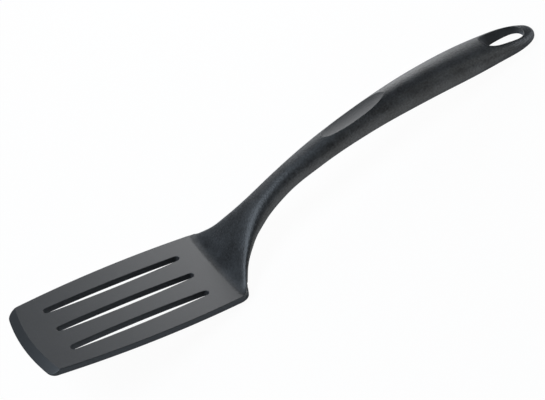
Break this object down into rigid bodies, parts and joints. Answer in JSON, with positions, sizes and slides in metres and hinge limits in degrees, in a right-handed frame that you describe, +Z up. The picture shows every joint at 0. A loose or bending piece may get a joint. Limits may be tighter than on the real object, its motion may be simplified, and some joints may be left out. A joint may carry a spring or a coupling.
{
  "type": "slotted kitchen spatula",
  "caption": "Slotted kitchen spatula: flat blade with long slots and a bevelled front edge, flared arched neck, and a domed grip with a dished thumb rest and a hanging hole.",
  "frame": {"origin": "bottom centre of the box around the tool as it rests on a worktop, on the blade's heel and the handle's end", "axes": "+X from the blade's front edge towards the handle's end, +Y across the blade, +Z up from the worktop"},
  "size_m": [0.367, 0.0764, 0.0488],
  "materials": {
    "satin_nylon": "moulded satin nylon, fine even grain, soft wide highlight",
    "textured_nylon": "moulded nylon with a spark-eroded texture that glitters finely",
    "cover_nylon": "moulded nylon, matte",
    "smooth_nylon": "moulded nylon, smooth satin",
    "liner_nylon": "moulded nylon, smooth satin"
  },
  "bodies": {
    "root": {"blade": "satin_nylon", "handle_body": "textured_nylon", "underside_cover": "cover_nylon", "thumb_rest": "smooth_nylon", "hole_liner": "liner_nylon"}
  },
  "joints": []
}
